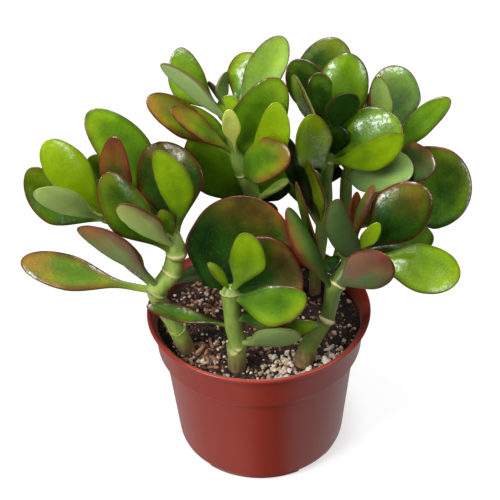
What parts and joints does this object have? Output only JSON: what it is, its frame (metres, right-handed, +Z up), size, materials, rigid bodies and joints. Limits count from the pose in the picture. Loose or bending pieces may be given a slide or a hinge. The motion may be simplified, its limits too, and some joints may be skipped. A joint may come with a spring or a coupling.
{
  "type": "potted jade plant",
  "caption": "Jade plant with thick, glossy, paddle-shaped leaves on short green stems, rooted in potting mix in a round terracotta-coloured plastic nursery pot.",
  "frame": {"origin": "centre of the pot's underside, on the surface it stands on", "axes": "+Z up along the pot's axis, -Y towards the viewer's side of the plant, +X to that viewer's right"},
  "size_m": [0.231, 0.126, 0.2279],
  "materials": {
    "pot": "satin terracotta-coloured plastic",
    "potting_mix": "dark moist peat and bark with white perlite grit",
    "left_plant": "waxy glossy leaf skin with red-brown rims",
    "centre_plant": "waxy glossy leaf skin with red-brown rims",
    "right_plant": "waxy glossy leaf skin with red-brown rims",
    "back_plant": "waxy glossy leaf skin with red-brown rims",
    "back_right_plant": "waxy glossy leaf skin with red-brown rims",
    "far_right_plant": "waxy glossy leaf skin with red-brown rims"
  },
  "bodies": {
    "root": {"pot": "pot", "potting_mix": "potting_mix", "left_plant": "left_plant", "centre_plant": "centre_plant", "right_plant": "right_plant", "back_plant": "back_plant", "back_right_plant": "back_right_plant", "far_right_plant": "far_right_plant"}
  },
  "joints": []
}
